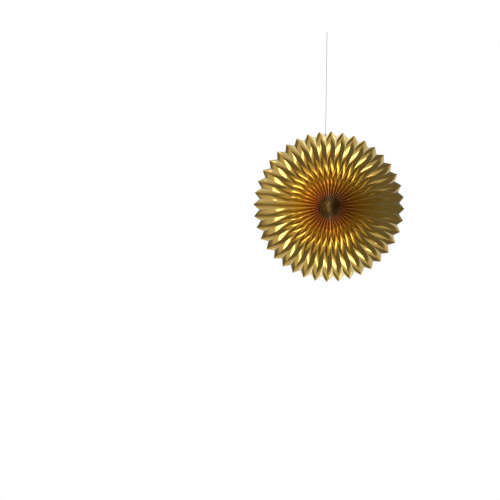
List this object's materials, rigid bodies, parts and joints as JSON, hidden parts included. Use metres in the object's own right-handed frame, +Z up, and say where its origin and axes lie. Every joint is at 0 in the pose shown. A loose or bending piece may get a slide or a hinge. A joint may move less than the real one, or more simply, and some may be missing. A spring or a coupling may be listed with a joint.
{
  "type": "paper fan medallion",
  "caption": "Round medallion of gold foil card folded into radial pleats with a zigzag rim, tied at its middle and hung on a string.",
  "frame": {"origin": "top end of the string, where the fan is hung up", "axes": "+Z up along the string, -Y to the front of the fan, +X to the right as seen from the front"},
  "size_m": [0.4, 0.026, 0.6617],
  "materials": {
    "foil_card": "gold metallised card with a satin mirror face",
    "thread": "twisted thread",
    "adhesive_tape": "double-sided tape",
    "string": "grey cotton string"
  },
  "bodies": {
    "root": {"pleated_fan": "foil_card", "centre_tie": "thread", "seam_tape_top": "adhesive_tape", "seam_tape_bottom": "adhesive_tape", "string_hitch": "string", "hanging_string": "string"}
  },
  "joints": []
}
